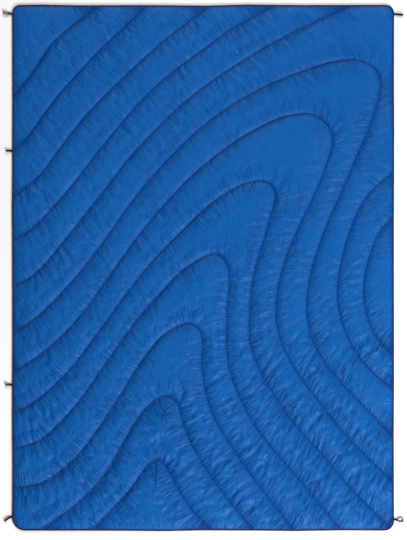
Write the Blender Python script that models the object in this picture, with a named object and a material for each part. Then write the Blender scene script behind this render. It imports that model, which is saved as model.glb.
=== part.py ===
"""Quilted camp blanket: a face shell and a back shell with a filling between them, sewn through
along a wave of curved seams, bound round the edge, with tape loops on its long sides.

Frame, in metres: +Z is up and the blanket lies on z = 0. +Y is its head end and +X its right
side, seen from above. The origin is the middle of the underside.
"""

import math

import bmesh
import bpy
import numpy as np
from mathutils import Vector
from mathutils.geometry import delaunay_2d_cdt

# Overall sizes, over the binding
WIDTH = 1.380
LENGTH = 1.900
CORNER_RADIUS = {
    ("head", "left"): 0.028,
    ("head", "right"): 0.030,
    ("foot", "left"): 0.046,
    ("foot", "right"): 0.036,
}

# Cloth, filling and thread
SHELL = 0.0006  # thickness of each shell
SEAM_FILLING = 0.0008  # filling left where a seam presses it
LOFT = 0.017  # rise of a full channel above its seams
FULL_HALF_CHANNEL = 0.045  # half the width of a channel that fills right up
LOFT_POWER = 0.65  # how quickly a narrower channel loses height
SEAM_LIFT = 0.0020  # height of the underside at a seam
THREAD = 0.0005
GAP = 0.0003  # between pieces that touch

# Binding tape, folded over the edge
BINDING = 0.0006
BINDING_LEAF = 0.0045  # width that shows on each side
BINDING_SEAM = 0.0032  # stitching, in from the outer edge
BORDER = 0.0100  # flat edge that the filling stops short of
FLOOR_GAP = 0.0001  # under the lowest thread of the binding

# Tape loops, sewn in between the shells
TAPE = 0.0009
TAPE_WIDTH = 0.0070
TAPE_FOLD = 0.0003  # between the two ends of a loop where they enter the seam
TAIL_CLEARANCE = 0.0015  # between the sewn-in ends and the filling
TAIL_REACH = BORDER - TAIL_CLEARANCE  # length of the sewn-in ends, from the outer edge
LOOP_FROM_ARC = 0.004  # centre of a corner loop beyond the end of its corner's arc
SIDE_LOOP_FROM_MIDDLE = 0.4225
FLEX_CLEARANCE = 0.00055  # between the outer edge and a loop as it flexes
FLEX_GAP = FLEX_CLEARANCE + TAPE + TAPE_FOLD / 2  # from the outer edge to a loop's flex line
BARTACK_WIDTH = 0.0012
BARTACK_PAST_TAPE = 0.0005  # at each side of the tape
BARTACK_IN = 0.0015  # its middle, in from the outer edge
BARTACK_BEVEL = 0.00015

# Heights through the layers at the flat border, from the underside up
LEAF_LOW = FLOOR_GAP + THREAD + GAP
BORDER_BACK = LEAF_LOW + BINDING + GAP
TAIL_LOW = BORDER_BACK + SHELL + GAP
TAIL_HIGH = TAIL_LOW + 2 * TAPE + TAPE_FOLD
BORDER_FACE = TAIL_HIGH + GAP
LEAF_HIGH = BORDER_FACE + SHELL + GAP
TAIL_MIDDLE = (TAIL_LOW + TAIL_HIGH) / 2

# How finely the curves are followed
SEAM_STEP = 0.072
RIDGE_STEP = 0.074
SURVEY_STEP = 0.016
BORDER_STEP = 0.095
ARC_STEPS = 6
SEAM_SHORT = 0.003  # a seam ends this far inside the border
NEAR_SEAM = 0.020  # no ridge point stands nearer to a seam than this
CURVE_PARTS = 16
SAME_POINT = 1e-6

# A flat piece of the underside, round the origin
REST_PATCH = ((-0.025, -0.013), (0.025, -0.013), (0.0, 0.018))

# The seams are drawn on a pattern of this size, centred on the origin, and grow with the blanket.
# Each runs past the edge at both ends and is cut off at the border.
PATTERN = (1.380, 1.900)
SEAMS = (
    ((-0.695, 0.600), (-0.610, 0.715), (-0.545, 0.810), (-0.405, 0.925), (-0.360, 0.955)),
    ((-0.695, 0.410), (-0.635, 0.470), (-0.575, 0.555), (-0.530, 0.615), (-0.450, 0.705),
     (-0.375, 0.785), (-0.300, 0.855), (-0.195, 0.955)),
    ((-0.695, 0.245), (-0.585, 0.340), (-0.530, 0.415), (-0.415, 0.560), (-0.275, 0.700),
     (-0.165, 0.800), (-0.110, 0.845), (0.035, 0.955)),
    ((-0.695, 0.090), (-0.620, 0.140), (-0.550, 0.210), (-0.460, 0.315), (-0.355, 0.450),
     (-0.235, 0.590), (-0.155, 0.670), (0.010, 0.795), (0.100, 0.860), (0.280, 0.955)),
    ((-0.695, -0.075), (-0.610, -0.025), (-0.500, 0.100), (-0.365, 0.270), (-0.280, 0.380),
     (-0.180, 0.490), (-0.070, 0.595), (0.055, 0.690), (0.240, 0.805), (0.380, 0.875),
     (0.555, 0.955)),
    ((-0.695, -0.240), (-0.615, -0.190), (-0.470, -0.045), (-0.345, 0.115), (-0.275, 0.215),
     (-0.170, 0.345), (0.010, 0.520), (0.195, 0.640), (0.390, 0.720), (0.480, 0.745),
     (0.560, 0.750), (0.620, 0.720), (0.640, 0.665), (0.600, 0.505), (0.560, 0.415),
     (0.490, 0.250), (0.455, 0.175), (0.395, 0.005), (0.375, -0.110), (0.385, -0.230),
     (0.435, -0.335), (0.505, -0.420), (0.695, -0.620)),
    ((-0.695, -0.385), (-0.565, -0.295), (-0.440, -0.170), (-0.370, -0.075), (-0.230, 0.120),
     (-0.115, 0.255), (-0.020, 0.350), (0.155, 0.480), (0.315, 0.550), (0.405, 0.550),
     (0.465, 0.485), (0.435, 0.345), (0.340, 0.135), (0.295, 0.025), (0.265, -0.110),
     (0.270, -0.225), (0.320, -0.345), (0.435, -0.505), (0.520, -0.610), (0.695, -0.785)),
    ((-0.695, -0.535), (-0.590, -0.470), (-0.485, -0.370), (-0.395, -0.255), (-0.270, -0.085),
     (-0.190, 0.015), (-0.100, 0.110), (0.040, 0.240), (0.155, 0.305), (0.230, 0.310),
     (0.260, 0.270), (0.235, 0.160), (0.205, 0.055), (0.185, -0.015), (0.170, -0.130),
     (0.175, -0.295), (0.260, -0.465), (0.330, -0.565), (0.435, -0.680), (0.550, -0.815),
     (0.695, -0.955)),
    ((-0.695, -0.660), (-0.585, -0.620), (-0.500, -0.540), (-0.435, -0.465), (-0.355, -0.350),
     (-0.240, -0.190), (-0.175, -0.115), (-0.055, 0.005), (0.050, 0.050), (0.090, 0.000),
     (0.085, -0.165), (0.085, -0.290), (0.100, -0.385), (0.180, -0.560), (0.240, -0.640),
     (0.355, -0.775), (0.505, -0.955)),
    ((-0.695, -0.800), (-0.580, -0.775), (-0.470, -0.695), (-0.415, -0.630), (-0.315, -0.485),
     (-0.220, -0.335), (-0.140, -0.240), (-0.050, -0.200), (-0.010, -0.230), (-0.005, -0.365),
     (0.030, -0.520), (0.115, -0.665), (0.185, -0.765), (0.335, -0.955)),
    ((-0.605, -0.955), (-0.455, -0.850), (-0.355, -0.745), (-0.285, -0.625), (-0.205, -0.505),
     (-0.135, -0.460), (-0.095, -0.485), (-0.075, -0.555), (-0.030, -0.660), (0.065, -0.805),
     (0.190, -0.955)),
    ((-0.410, -0.955), (-0.280, -0.820), (-0.165, -0.690), (-0.085, -0.810), (-0.040, -0.875),
     (0.040, -0.955)),
    ((0.695, 0.355), (0.590, 0.255), (0.520, 0.100), (0.485, -0.095), (0.510, -0.220),
     (0.555, -0.310), (0.625, -0.390), (0.695, -0.445)),
    ((0.695, 0.195), (0.630, 0.115), (0.580, -0.080), (0.615, -0.230), (0.695, -0.330)),
)

# A loop whose strands lie flat opens to this height each way; one whose strands stand on their
# edges is lifted to clear the floor.
FLAT = 0.0030
EDGE_CLEARANCE = 0.00075
ON_EDGE = TAPE_WIDTH / 2 + EDGE_CLEARANCE - TAIL_MIDDLE

# A loop stands out by its reach and leans along the edge by its lean, in metres. Its upper and
# lower strands part by the amounts in apart, along the edge and up, and the whole loop rises by
# its lift. The strands turn on themselves by turn, in degrees, and the tip by tip_turn. At 0 the
# tape lies flat; below 0 its strands face each other as they part along the edge.
# Side is -1 for left and 1 for right; end is 1 for head and -1 for foot.
LOOPS = {
    "head_left": {
        "side": -1, "end": 1, "corner": ("head", "left"), "reach": 0.031, "lean": 0.005,
        "apart": ((0.0055, 0.0), (-0.0060, 0.0)), "lift": ON_EDGE, "turn": -75, "tip_turn": -90,
    },
    "head_right": {
        "side": 1, "end": 1, "corner": ("head", "right"), "reach": 0.031, "lean": -0.002,
        "apart": ((0.0, FLAT), (0.0, -FLAT)), "lift": 0.0, "turn": 0, "tip_turn": 0,
    },
    "foot_left": {
        "side": -1, "end": -1, "corner": ("foot", "left"), "reach": 0.026, "lean": -0.016,
        "apart": ((0.0, FLAT), (0.0, -FLAT)), "lift": 0.0, "turn": 0, "tip_turn": 0,
    },
    "foot_right": {
        "side": 1, "end": -1, "corner": ("foot", "right"), "reach": 0.032, "lean": -0.001,
        "apart": ((0.0075, 0.0), (-0.0075, 0.0)), "lift": ON_EDGE, "turn": -80, "tip_turn": -90,
    },
    "side_head": {
        "side": -1, "end": 1, "corner": None, "reach": 0.021, "lean": 0.001,
        "apart": ((0.0, FLAT), (0.0, -FLAT)), "lift": 0.0, "turn": 0, "tip_turn": 0,
    },
    "side_foot": {
        "side": -1, "end": -1, "corner": None, "reach": 0.023, "lean": 0.0,
        "apart": ((0.0042, 0.0), (-0.0042, 0.0)), "lift": ON_EDGE, "turn": -90, "tip_turn": -90,
    },
}
STRAND_STEPS = 10
TIP_STEPS = 7
FLEX_STEPS = 4

# Along a loop, as shares of its reach
STRAND_FROM, STRAND_TO = 0.06, 0.82
TURN_FROM, TURN_TO = 0.12, 0.50  # where its strands turn and rise
OPEN_FROM, OPEN_TO = 0.16, 0.58  # where they part
TIP_TURN_FROM, TIP_TURN_TO = 0.55, 0.95  # where their turn changes to the tip's
TIP_FROM = 0.88  # start of the round at the tip
LEAN_POWER = 1.6

# Linear colours, with roughness
BLUE_FACE = ((0.010, 0.100, 0.370), 0.45)
BLUE_BACK = ((0.008, 0.060, 0.230), 0.50)
FILLING_WHITE = ((0.80, 0.80, 0.78), 0.95)
BINDING_WINE = ((0.050, 0.012, 0.025), 0.60)
THREAD_NAVY = ((0.010, 0.040, 0.150), 0.50)
TAPE_BLACK = ((0.012, 0.011, 0.012), 0.70)


def clear_scene():
    for old in list(bpy.data.objects):
        bpy.data.objects.remove(old, do_unlink=True)


def material(name, finish):
    """A plain finish: a linear colour and a roughness, with no metal in it."""
    found = bpy.data.materials.get(name)
    if found:
        return found
    made = bpy.data.materials.new(name)
    made.use_nodes = True
    shader = made.node_tree.nodes["Principled BSDF"]
    colour, roughness = finish
    shader.inputs["Base Color"].default_value = (*colour, 1.0)
    shader.inputs["Roughness"].default_value = roughness
    shader.inputs["Metallic"].default_value = 0.0
    return made


def add_object(name, shape, finish_name, finish, at=(0.0, 0.0, 0.0)):
    """An object from a bmesh, whose points are taken relative to `at`."""
    bmesh.ops.recalc_face_normals(shape, faces=shape.faces)
    mesh = bpy.data.meshes.new(name)
    shape.to_mesh(mesh)
    shape.free()
    mesh.materials.append(material(finish_name, finish))
    made = bpy.data.objects.new(name, mesh)
    made.location = at
    bpy.context.scene.collection.objects.link(made)
    return made


def smooth(value, start, end):
    """0 up to the start and 1 from the end on, with an easy slope between them."""
    t = min(max((value - start) / (end - start), 0.0), 1.0)
    return t * t * (3.0 - 2.0 * t)


# ---------------------------------------------------------------- outline and seams


def corner_centres():
    """Each corner's arc centre, radius and first angle, anticlockwise from the head's right."""
    order = (("head", "right"), ("head", "left"), ("foot", "left"), ("foot", "right"))
    for turn, corner in enumerate(order):
        radius = CORNER_RADIUS[corner]
        x = (WIDTH / 2 - radius) * (1 if corner[1] == "right" else -1)
        y = (LENGTH / 2 - radius) * (1 if corner[0] == "head" else -1)
        yield x, y, radius, turn * math.pi / 2


def outline(inset, step=None):
    """The rounded rectangle `inset` inside the outer edge, with its sides divided at `step`."""
    points = []
    for x, y, radius, start in corner_centres():
        for i in range(ARC_STEPS + 1):
            angle = start + i * math.pi / 2 / ARC_STEPS
            r = radius - inset
            points.append((x + r * math.cos(angle), y + r * math.sin(angle)))
    if step is None:
        return points
    divided = []
    for a, b in zip(points, points[1:] + points[:1]):
        count = max(1, round(math.dist(a, b) / step))
        divided += [
            (a[0] + (b[0] - a[0]) * i / count, a[1] + (b[1] - a[1]) * i / count)
            for i in range(count)
        ]
    return divided


def from_edge(x, y):
    """How far a point lies inside the outer edge."""
    side = "right" if x > 0 else "left"
    end = "head" if y > 0 else "foot"
    radius = CORNER_RADIUS[(end, side)]
    in_x, in_y = WIDTH / 2 - abs(x), LENGTH / 2 - abs(y)
    if in_x < radius and in_y < radius:
        return radius - math.hypot(radius - in_x, radius - in_y)
    return min(in_x, in_y)


def curve_through(points):
    """A smooth curve through the points: a centripetal Catmull-Rom spline."""
    padded = [2 * points[0] - points[1], *points, 2 * points[-1] - points[-2]]
    curve = []
    for a, b, c, d in zip(padded, padded[1:], padded[2:], padded[3:]):
        t1 = math.sqrt((b - a).length)
        t2 = t1 + math.sqrt((c - b).length)
        t3 = t2 + math.sqrt((d - c).length)
        for k in range(CURVE_PARTS):
            t = t1 + (t2 - t1) * k / CURVE_PARTS
            ab = a.lerp(b, t / t1)
            bc = b.lerp(c, (t - t1) / (t2 - t1))
            cd = c.lerp(d, (t - t2) / (t3 - t2))
            abc = ab.lerp(bc, t / t2)
            bcd = bc.lerp(cd, (t - t1) / (t3 - t1))
            curve.append(abc.lerp(bcd, (t - t1) / (t2 - t1)))
    curve.append(points[-1])
    return curve


def evenly(curve, step):
    """Points along a curve at an even spacing of about `step`, both ends kept."""
    lengths = [0.0]
    for a, b in zip(curve, curve[1:]):
        lengths.append(lengths[-1] + (b - a).length)
    count = max(2, round(lengths[-1] / step))
    marks = [lengths[-1] * i / count for i in range(count + 1)]
    xs = np.interp(marks, lengths, [p.x for p in curve])
    ys = np.interp(marks, lengths, [p.y for p in curve])
    return [Vector((x, y)) for x, y in zip(xs, ys)]


def seam_lines():
    """Each seam's stations, cut off where it comes to the border."""
    lines = []
    for drawn in SEAMS:
        grown = [Vector((x * WIDTH / PATTERN[0], y * LENGTH / PATTERN[1])) for x, y in drawn]
        curve = curve_through(grown)
        inside = [p for p in curve if from_edge(p.x, p.y) > BORDER + SEAM_SHORT]
        lines.append(evenly(inside, SEAM_STEP))
    return lines


# ---------------------------------------------------------------- quilted layers


def distances(points, lines):
    """How far each point lies from the nearest seam or from the border."""
    points = np.asarray(points, float)
    nearest = np.array([from_edge(x, y) - BORDER for x, y in points])
    for line in lines:
        for a, b in zip(line, line[1:]):
            start, run = np.array(a[:2]), np.array((b - a)[:2])
            share = np.clip(((points - start) @ run) / (run @ run), 0.0, 1.0)
            gap = points - (start + share[:, None] * run)
            nearest = np.minimum(nearest, np.hypot(gap[:, 0], gap[:, 1]))
    return nearest


def ridge_points(lines):
    """Points along the tops of the channels: the furthest from any seam first."""
    columns = np.arange(-WIDTH / 2, WIDTH / 2, SURVEY_STEP)
    rows = np.arange(-LENGTH / 2, LENGTH / 2, SURVEY_STEP)
    survey = np.array([(x, y) for y in rows for x in columns if from_edge(x, y) > BORDER])
    away = distances(survey, lines)
    chosen = [np.array(p) for p in REST_PATCH]
    for i in np.argsort(-away, kind="stable"):
        if away[i] < NEAR_SEAM:
            break
        here = np.array(chosen)
        if np.hypot(*(here - survey[i]).T).min() > RIDGE_STEP:
            chosen.append(survey[i])
    return chosen[len(REST_PATCH) :]


def quilt_plan():
    """The quilt seen from above: its points, their kinds, its triangles and the seams."""
    lines = seam_lines()
    points, kinds, edges = [], [], []

    def add(run, kind, closed=None):
        first = len(points)
        points.extend(Vector(p) for p in run)
        kinds.extend([kind] * len(run))
        if closed is None:
            return
        edges.extend((first + i, first + i + 1) for i in range(len(run) - 1))
        if closed:
            edges.append((first + len(run) - 1, first))

    add(outline(BINDING + GAP), "edge", closed=True)
    add(outline(BORDER, BORDER_STEP), "border", closed=True)
    for line in lines:
        add(line, "seam", closed=False)
    add(REST_PATCH, "ridge", closed=True)
    add(ridge_points(lines), "ridge")
    flat, _, faces, origins, _, _ = delaunay_2d_cdt(points, edges, [], 0, SAME_POINT, True)
    kind_of = [kinds[min(found)] for found in origins]
    return flat, kind_of, faces, lines


def layer_heights(flat, kinds, lines):
    """For each point, the heights of the six surfaces from the underside up."""
    rises = distances([(p.x, p.y) for p in flat], lines)
    heights = []
    for kind, away in zip(kinds, rises):
        if kind in ("edge", "border"):
            back, face = BORDER_BACK, BORDER_FACE
        else:
            back = SEAM_LIFT if kind == "seam" else 0.0
            face = SEAM_LIFT + SHELL + GAP + SEAM_FILLING + GAP
            if kind == "ridge":
                face += LOFT * min(1.0, away / FULL_HALF_CHANNEL) ** LOFT_POWER
        heights.append((back, back + SHELL, back + SHELL + GAP, face - GAP, face, face + SHELL))
    return heights


def quilted_layer(flat, faces, lows, highs):
    """A closed solid between two heights over the same plan."""
    used = sorted({i for face in faces for i in face})
    shape = bmesh.new()
    low = {i: shape.verts.new((flat[i].x, flat[i].y, lows[i])) for i in used}
    high = {i: shape.verts.new((flat[i].x, flat[i].y, highs[i])) for i in used}
    sides = {}
    for face in faces:
        shape.faces.new([high[i] for i in face])
        shape.faces.new([low[i] for i in reversed(face)])
        for a, b in zip(face, face[1:] + face[:1]):
            sides[(a, b)] = (b, a) not in sides
            if (b, a) in sides:
                sides[(b, a)] = False
    for (a, b), open_side in sides.items():
        if open_side:
            shape.faces.new([high[b], high[a], low[a], low[b]])
    return shape


def add_quilt():
    flat, kinds, faces, lines = quilt_plan()
    heights = layer_heights(flat, kinds, lines)
    levels = list(zip(*heights))
    filled = [f for f in faces if all(kinds[i] != "edge" for i in f)]
    layers = (
        ("back_shell", faces, levels[0], levels[1], "back_cloth", BLUE_BACK),
        ("insulation_batt", filled, levels[2], levels[3], "filling", FILLING_WHITE),
        ("face_shell", faces, levels[4], levels[5], "face_cloth", BLUE_FACE),
    )
    for name, area, lows, highs, finish_name, finish in layers:
        shape = quilted_layer(flat, area, lows, highs)
        add_object(name, shape, finish_name, finish)
    return lines


# ---------------------------------------------------------------- threads


def thread_shape(line, height, up, closed=False):
    """A thread of three sides along a level line, its flat side at `height` and facing away
    from `up`."""
    shape = bmesh.new()
    rings = []
    for i, p in enumerate(line):
        ahead = line[(i + 1) % len(line)] if closed or i < len(line) - 1 else p
        behind = line[i - 1] if closed or i > 0 else p
        along = (ahead - behind).normalized()
        across = Vector((along.y, -along.x)) * THREAD / 2
        ring = (
            (p.x - across.x, p.y - across.y, height),
            (p.x + across.x, p.y + across.y, height),
            (p.x, p.y, height + up * THREAD),
        )
        rings.append([shape.verts.new(corner) for corner in ring])
    pairs = list(zip(rings, rings[1:]))
    if closed:
        pairs.append((rings[-1], rings[0]))
    else:
        shape.faces.new(rings[0])
        shape.faces.new(reversed(rings[-1]))
    for a, b in pairs:
        for k in range(3):
            n = (k + 1) % 3
            shape.faces.new([a[k], b[k], b[n], a[n]])
    return shape


def add_threads(lines):
    """The thread on the face and the bobbin thread under each seam and round the binding."""
    seam_face = SEAM_LIFT + SHELL + GAP + SEAM_FILLING + GAP + SHELL
    for number, line in enumerate(lines, 1):
        over = thread_shape(line, seam_face + GAP, 1)
        add_object(f"quilt_thread_{number:02d}", over, "quilt_thread", THREAD_NAVY)
        under = thread_shape(line, SEAM_LIFT - GAP, -1)
        add_object(f"quilt_bobbin_thread_{number:02d}", under, "quilt_thread", THREAD_NAVY)
    edge = [Vector(p) for p in outline(BINDING_SEAM)]
    over = thread_shape(edge, LEAF_HIGH + BINDING + GAP, 1, closed=True)
    add_object("binding_thread", over, "binding_thread", TAPE_BLACK)
    under = thread_shape(edge, LEAF_LOW - GAP, -1, closed=True)
    add_object("binding_bobbin_thread", under, "binding_thread", TAPE_BLACK)


# ---------------------------------------------------------------- binding and loops


def loop_place(loop):
    """Where a loop's tape crosses the outer edge."""
    if loop["corner"]:
        y = LENGTH / 2 - CORNER_RADIUS[loop["corner"]] - LOOP_FROM_ARC
    else:
        y = SIDE_LOOP_FROM_MIDDLE
    return Vector((loop["side"] * WIDTH / 2, loop["end"] * y, TAIL_MIDDLE))


def block(shape, low, high):
    """A box between two corners, added to a bmesh."""
    made = bmesh.ops.create_cube(shape, size=1.0)["verts"]
    for v in made:
        v.co = [a + (b - a) * (c + 0.5) for a, b, c in zip(low, high, v.co)]


def span(middle, size):
    """The two corners of a box from its middle and its size."""
    half = Vector(size) / 2
    return middle - half, middle + half


def add_binding():
    """The folded tape, open towards the middle, with a slit where each loop's tape enters."""
    section = (
        (0.0, LEAF_LOW),
        (BINDING_LEAF, LEAF_LOW),
        (BINDING_LEAF, LEAF_LOW + BINDING),
        (BINDING, LEAF_LOW + BINDING),
        (BINDING, LEAF_HIGH),
        (BINDING_LEAF, LEAF_HIGH),
        (BINDING_LEAF, LEAF_HIGH + BINDING),
        (0.0, LEAF_HIGH + BINDING),
    )
    shape = bmesh.new()
    strings = [
        [shape.verts.new((x, y, height)) for x, y in outline(inset)] for inset, height in section
    ]
    for a, b in zip(strings, strings[1:] + strings[:1]):
        for i in range(len(a)):
            n = (i + 1) % len(a)
            shape.faces.new([a[i], a[n], b[n], b[i]])
    binding = add_object("binding_tape", shape, "binding", BINDING_WINE)

    slits = bmesh.new()
    size = (4 * BINDING, TAPE_WIDTH + 2 * GAP, TAIL_HIGH - TAIL_LOW + 2 * GAP)
    for loop in LOOPS.values():
        block(slits, *span(loop_place(loop), size))
    cutter = add_object("binding_slits", slits, "binding", BINDING_WINE)
    cutter.hide_render = True
    cutter.display_type = "WIRE"
    cut = binding.modifiers.new("slits", "BOOLEAN")
    cut.operation = "DIFFERENCE"
    cut.solver = "EXACT"
    cut.object = cutter


def add_sewn_ends(name, loop):
    """The tape ends held in the edge, and the bar-tack over them."""
    place, inward = loop_place(loop), Vector((-loop["side"], 0.0, 0.0))
    size = (TAIL_REACH, TAPE_WIDTH, TAIL_HIGH - TAIL_LOW)
    shape = bmesh.new()
    block(shape, *span(inward * TAIL_REACH / 2, size))
    add_object(f"loop_tail_{name}", shape, "loop_tape", TAPE_BLACK, place)

    over = place + inward * BARTACK_IN
    over.z = LEAF_HIGH + BINDING + GAP + THREAD / 2
    size = (BARTACK_WIDTH, TAPE_WIDTH + 2 * BARTACK_PAST_TAPE, THREAD)
    shape = bmesh.new()
    block(shape, *span(Vector(), size))
    tack = add_object(f"bartack_{name}", shape, "binding_thread", TAPE_BLACK, over)
    rounding = tack.modifiers.new("rounding", "BEVEL")
    rounding.width = BARTACK_BEVEL
    rounding.segments = 1


def loop_path(loop):
    """The middle of the tape all the way round a loop, from the line that it flexes about, and
    the direction of its width at each point."""
    side, reach, lean = loop["side"], loop["reach"], loop["lean"]
    turn, tip_turn = math.radians(loop["turn"]), math.radians(loop["tip_turn"])
    fold = (TAPE + TAPE_FOLD) / 2
    path, widths = [], []

    def middle(share):
        return Vector((side * reach * share, lean * share**LEAN_POWER, 0.0))

    def turned(share):
        bend = turn * smooth(share, TURN_FROM, TURN_TO)
        return bend + (tip_turn - turn) * smooth(share, TIP_TURN_FROM, TIP_TURN_TO)

    def across(share):
        """The width's direction at a share of the reach."""
        run = Vector((side * reach, LEAN_POWER * lean * share ** (LEAN_POWER - 1.0), 0.0))
        level = Vector((-run.y * side, run.x * side, 0.0)).normalized()
        bend = turned(share)
        return level * math.cos(bend) + Vector((0.0, 0.0, math.sin(bend)))

    def strand_point(share, apart, sign):
        bend, opened = turned(share), smooth(share, OPEN_FROM, OPEN_TO)
        stacked = Vector((0.0, -math.sin(bend), math.cos(bend))) * sign * fold
        parted = Vector((0.0, apart[0], apart[1]))
        lift = Vector((0.0, 0.0, loop["lift"] * smooth(share, TURN_FROM, TURN_TO)))
        return middle(share) + stacked.lerp(parted, opened) + lift

    def strand(apart, sign):
        for i in range(STRAND_STEPS):
            share = STRAND_FROM + (STRAND_TO - STRAND_FROM) * i / (STRAND_STEPS - 1)
            yield strand_point(share, apart, sign), across(share)

    for i in range(FLEX_STEPS + 1):
        angle = math.pi * (1.5 - i / FLEX_STEPS)
        path.append(Vector((side * fold * math.cos(angle), 0.0, fold * math.sin(angle))))
        widths.append(Vector((0.0, 1.0, 0.0)))
    upper, lower = loop["apart"]
    for point, width in strand(upper, 1):
        path.append(point)
        widths.append(width)
    high, low = strand_point(TIP_FROM, upper, 1), strand_point(TIP_FROM, lower, -1)
    onward = middle(1.0) - middle(TIP_FROM)
    centre = (high + low) / 2
    for i in range(TIP_STEPS + 1):
        angle = math.pi * i / TIP_STEPS
        path.append(centre + (high - centre) * math.cos(angle) + onward * math.sin(angle))
        widths.append(across(TIP_TURN_TO))
    for point, width in reversed(list(strand(lower, -1))):
        path.append(point)
        widths.append(width)
    return path, widths


def add_loop(name, loop):
    """The free part of a loop: one ring of tape, which starts and ends at the flex line."""
    path, widths = loop_path(loop)
    shape = bmesh.new()
    rings = []
    for i, p in enumerate(path):
        along = (path[(i + 1) % len(path)] - path[i - 1]).normalized()
        width = widths[i] * TAPE_WIDTH / 2
        thick = along.cross(width).normalized() * TAPE / 2
        corners = (p + width + thick, p - width + thick, p - width - thick, p + width - thick)
        rings.append([shape.verts.new(corner) for corner in corners])
    # A turning tape's faces are split the same way on both sides and on both strands, so that
    # its sides stay one thickness apart.
    for i, a in enumerate(rings):
        b = rings[(i + 1) % len(rings)]
        outward = i < len(rings) // 2
        for k in range(4):
            n = (k + 1) % 4
            if (k == 0) == outward:
                shape.faces.new([a[k], a[n], b[n]])
                shape.faces.new([a[k], b[n], b[k]])
            else:
                shape.faces.new([a[k], a[n], b[k]])
                shape.faces.new([a[n], b[n], b[k]])
    flex = loop_place(loop) + Vector((loop["side"] * FLEX_GAP, 0.0, 0.0))
    add_object(f"loop_{name}", shape, "loop_tape", TAPE_BLACK, flex)


def main():
    clear_scene()
    lines = add_quilt()
    add_threads(lines)
    add_binding()
    for name, loop in LOOPS.items():
        add_sewn_ends(name, loop)
        add_loop(name, loop)


main()
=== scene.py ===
"""Camp blanket: the finished look of the quilt, its stitching, its binding and its tape loops.

Sizes are in metres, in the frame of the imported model: +Z up, +Y to the head end, and the blanket
lies on z = 0 with the origin under its middle.
"""

import math

import bmesh
import bpy
import numpy as np
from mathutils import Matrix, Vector, noise
from mathutils.geometry import delaunay_2d_cdt
from mathutils.kdtree import KDTree


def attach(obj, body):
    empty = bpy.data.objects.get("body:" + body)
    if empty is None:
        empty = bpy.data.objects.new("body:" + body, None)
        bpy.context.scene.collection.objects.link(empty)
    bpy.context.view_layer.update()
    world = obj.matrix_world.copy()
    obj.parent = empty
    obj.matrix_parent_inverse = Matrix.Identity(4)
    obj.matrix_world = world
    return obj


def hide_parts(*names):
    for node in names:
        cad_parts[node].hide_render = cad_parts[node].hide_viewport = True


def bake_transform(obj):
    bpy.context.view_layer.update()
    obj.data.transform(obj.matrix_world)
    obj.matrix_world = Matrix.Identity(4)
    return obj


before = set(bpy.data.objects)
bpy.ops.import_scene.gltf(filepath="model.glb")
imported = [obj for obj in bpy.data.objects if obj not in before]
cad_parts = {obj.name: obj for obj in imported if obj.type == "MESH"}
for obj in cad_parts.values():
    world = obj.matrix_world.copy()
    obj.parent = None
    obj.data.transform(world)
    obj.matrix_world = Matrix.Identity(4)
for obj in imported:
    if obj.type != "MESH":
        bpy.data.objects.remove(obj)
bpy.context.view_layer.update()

# Overall sizes, over the binding
WIDTH = 1.380
LENGTH = 1.900
CORNER_RADIUS = {
    ("head", "right"): 0.030,
    ("head", "left"): 0.028,
    ("foot", "left"): 0.046,
    ("foot", "right"): 0.036,
}

# Heights through the layers
EDGE_BACK = 0.0021  # back shell under the binding
EDGE_FACE = 0.0054  # face shell under the binding
SEAM_BACK = 0.0024  # back shell where a seam holds it up
SEAM_FACE = 0.0045  # face shell where a seam holds it down
CHANNEL_RISE = 0.0135  # a full channel above its seams
HALF_CHANNEL = 0.043
LOWEST = 0.0002  # the back shell where it rests on the floor
DEEPEST_FOLD = 0.60  # of the rise
FILLING_BELOW_FACE, FILLING_ABOVE_BACK = 0.0008, 0.0004
THINNEST_FILLING = 0.0002

# Binding: its lowest and highest point, its cloth, and how far inside the edge its stitching runs
BINDING_LOW, BINDING_HIGH = 0.0009, 0.0066
BINDING_CLOTH = 0.0006
BINDING_SEAM = 0.0032
BINDING_STEP = 0.0032
BINDING_UPPER_LEAF = (
    (0.00460, 0.00628), (0.00425, 0.00658), (0.00370, 0.00662), (0.00320, 0.00650),
    (0.00265, 0.00664), (0.00185, 0.00664), (0.00110, 0.00642), (0.00050, 0.00585),
    (0.00014, 0.00490), (0.00000, 0.00375),
)  # across the binding: how far inside the edge, and how high
SLIT_DEPTH, SLIT_ROOM = 0.0026, 0.0006

# Tape loops: the tape, its sewn-in tails, and where the loops stand along the edge
TAPE = 0.0009
TAPE_WIDTH = 0.0070
TAPE_FOLD = 0.0003
TAIL_REACH = 0.0085
TAIL_MIDDLE = 0.00375
TAIL_STEPS = 8
FLEX_GAP = 0.0016
LOOP_FROM_ARC = 0.004
SIDE_LOOP_FROM_MIDDLE = 0.4225

# Stitches
STITCH_PITCH = 0.0036
STITCH_LENGTH = 0.0031
STITCH_RADIUS = 0.00027
STITCH_LIFT = 0.00012  # off the cloth
SEAM_STOP = 0.0052  # where the seams' stitches go under the binding
BINDING_STITCH_SINK = 0.00008
BINDING_PITCH = 0.0030
TACK_PASSES = 34
TACK_RADIUS = 0.00016

# Each sheet's spacing of points: along its rows, from the seams to the rows beside them, in the
# net between those, and from the outer edge to the rings inside it
FACE_SPACING = (0.0037, (0.0024, 0.0060), 0.0064, (0.0012, 0.0028, 0.0046, 0.0075, 0.0115))
BACK_SPACING = (0.0070, (0.0040, 0.0100), 0.0110, (0.0012, 0.0028, 0.0046, 0.0090))
FILLING_SPACING = (0.0110, (0.0070,), 0.0150, (0.0100, 0.0104, 0.0110, 0.0170))
SWELL_ROUNDS = 260

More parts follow.
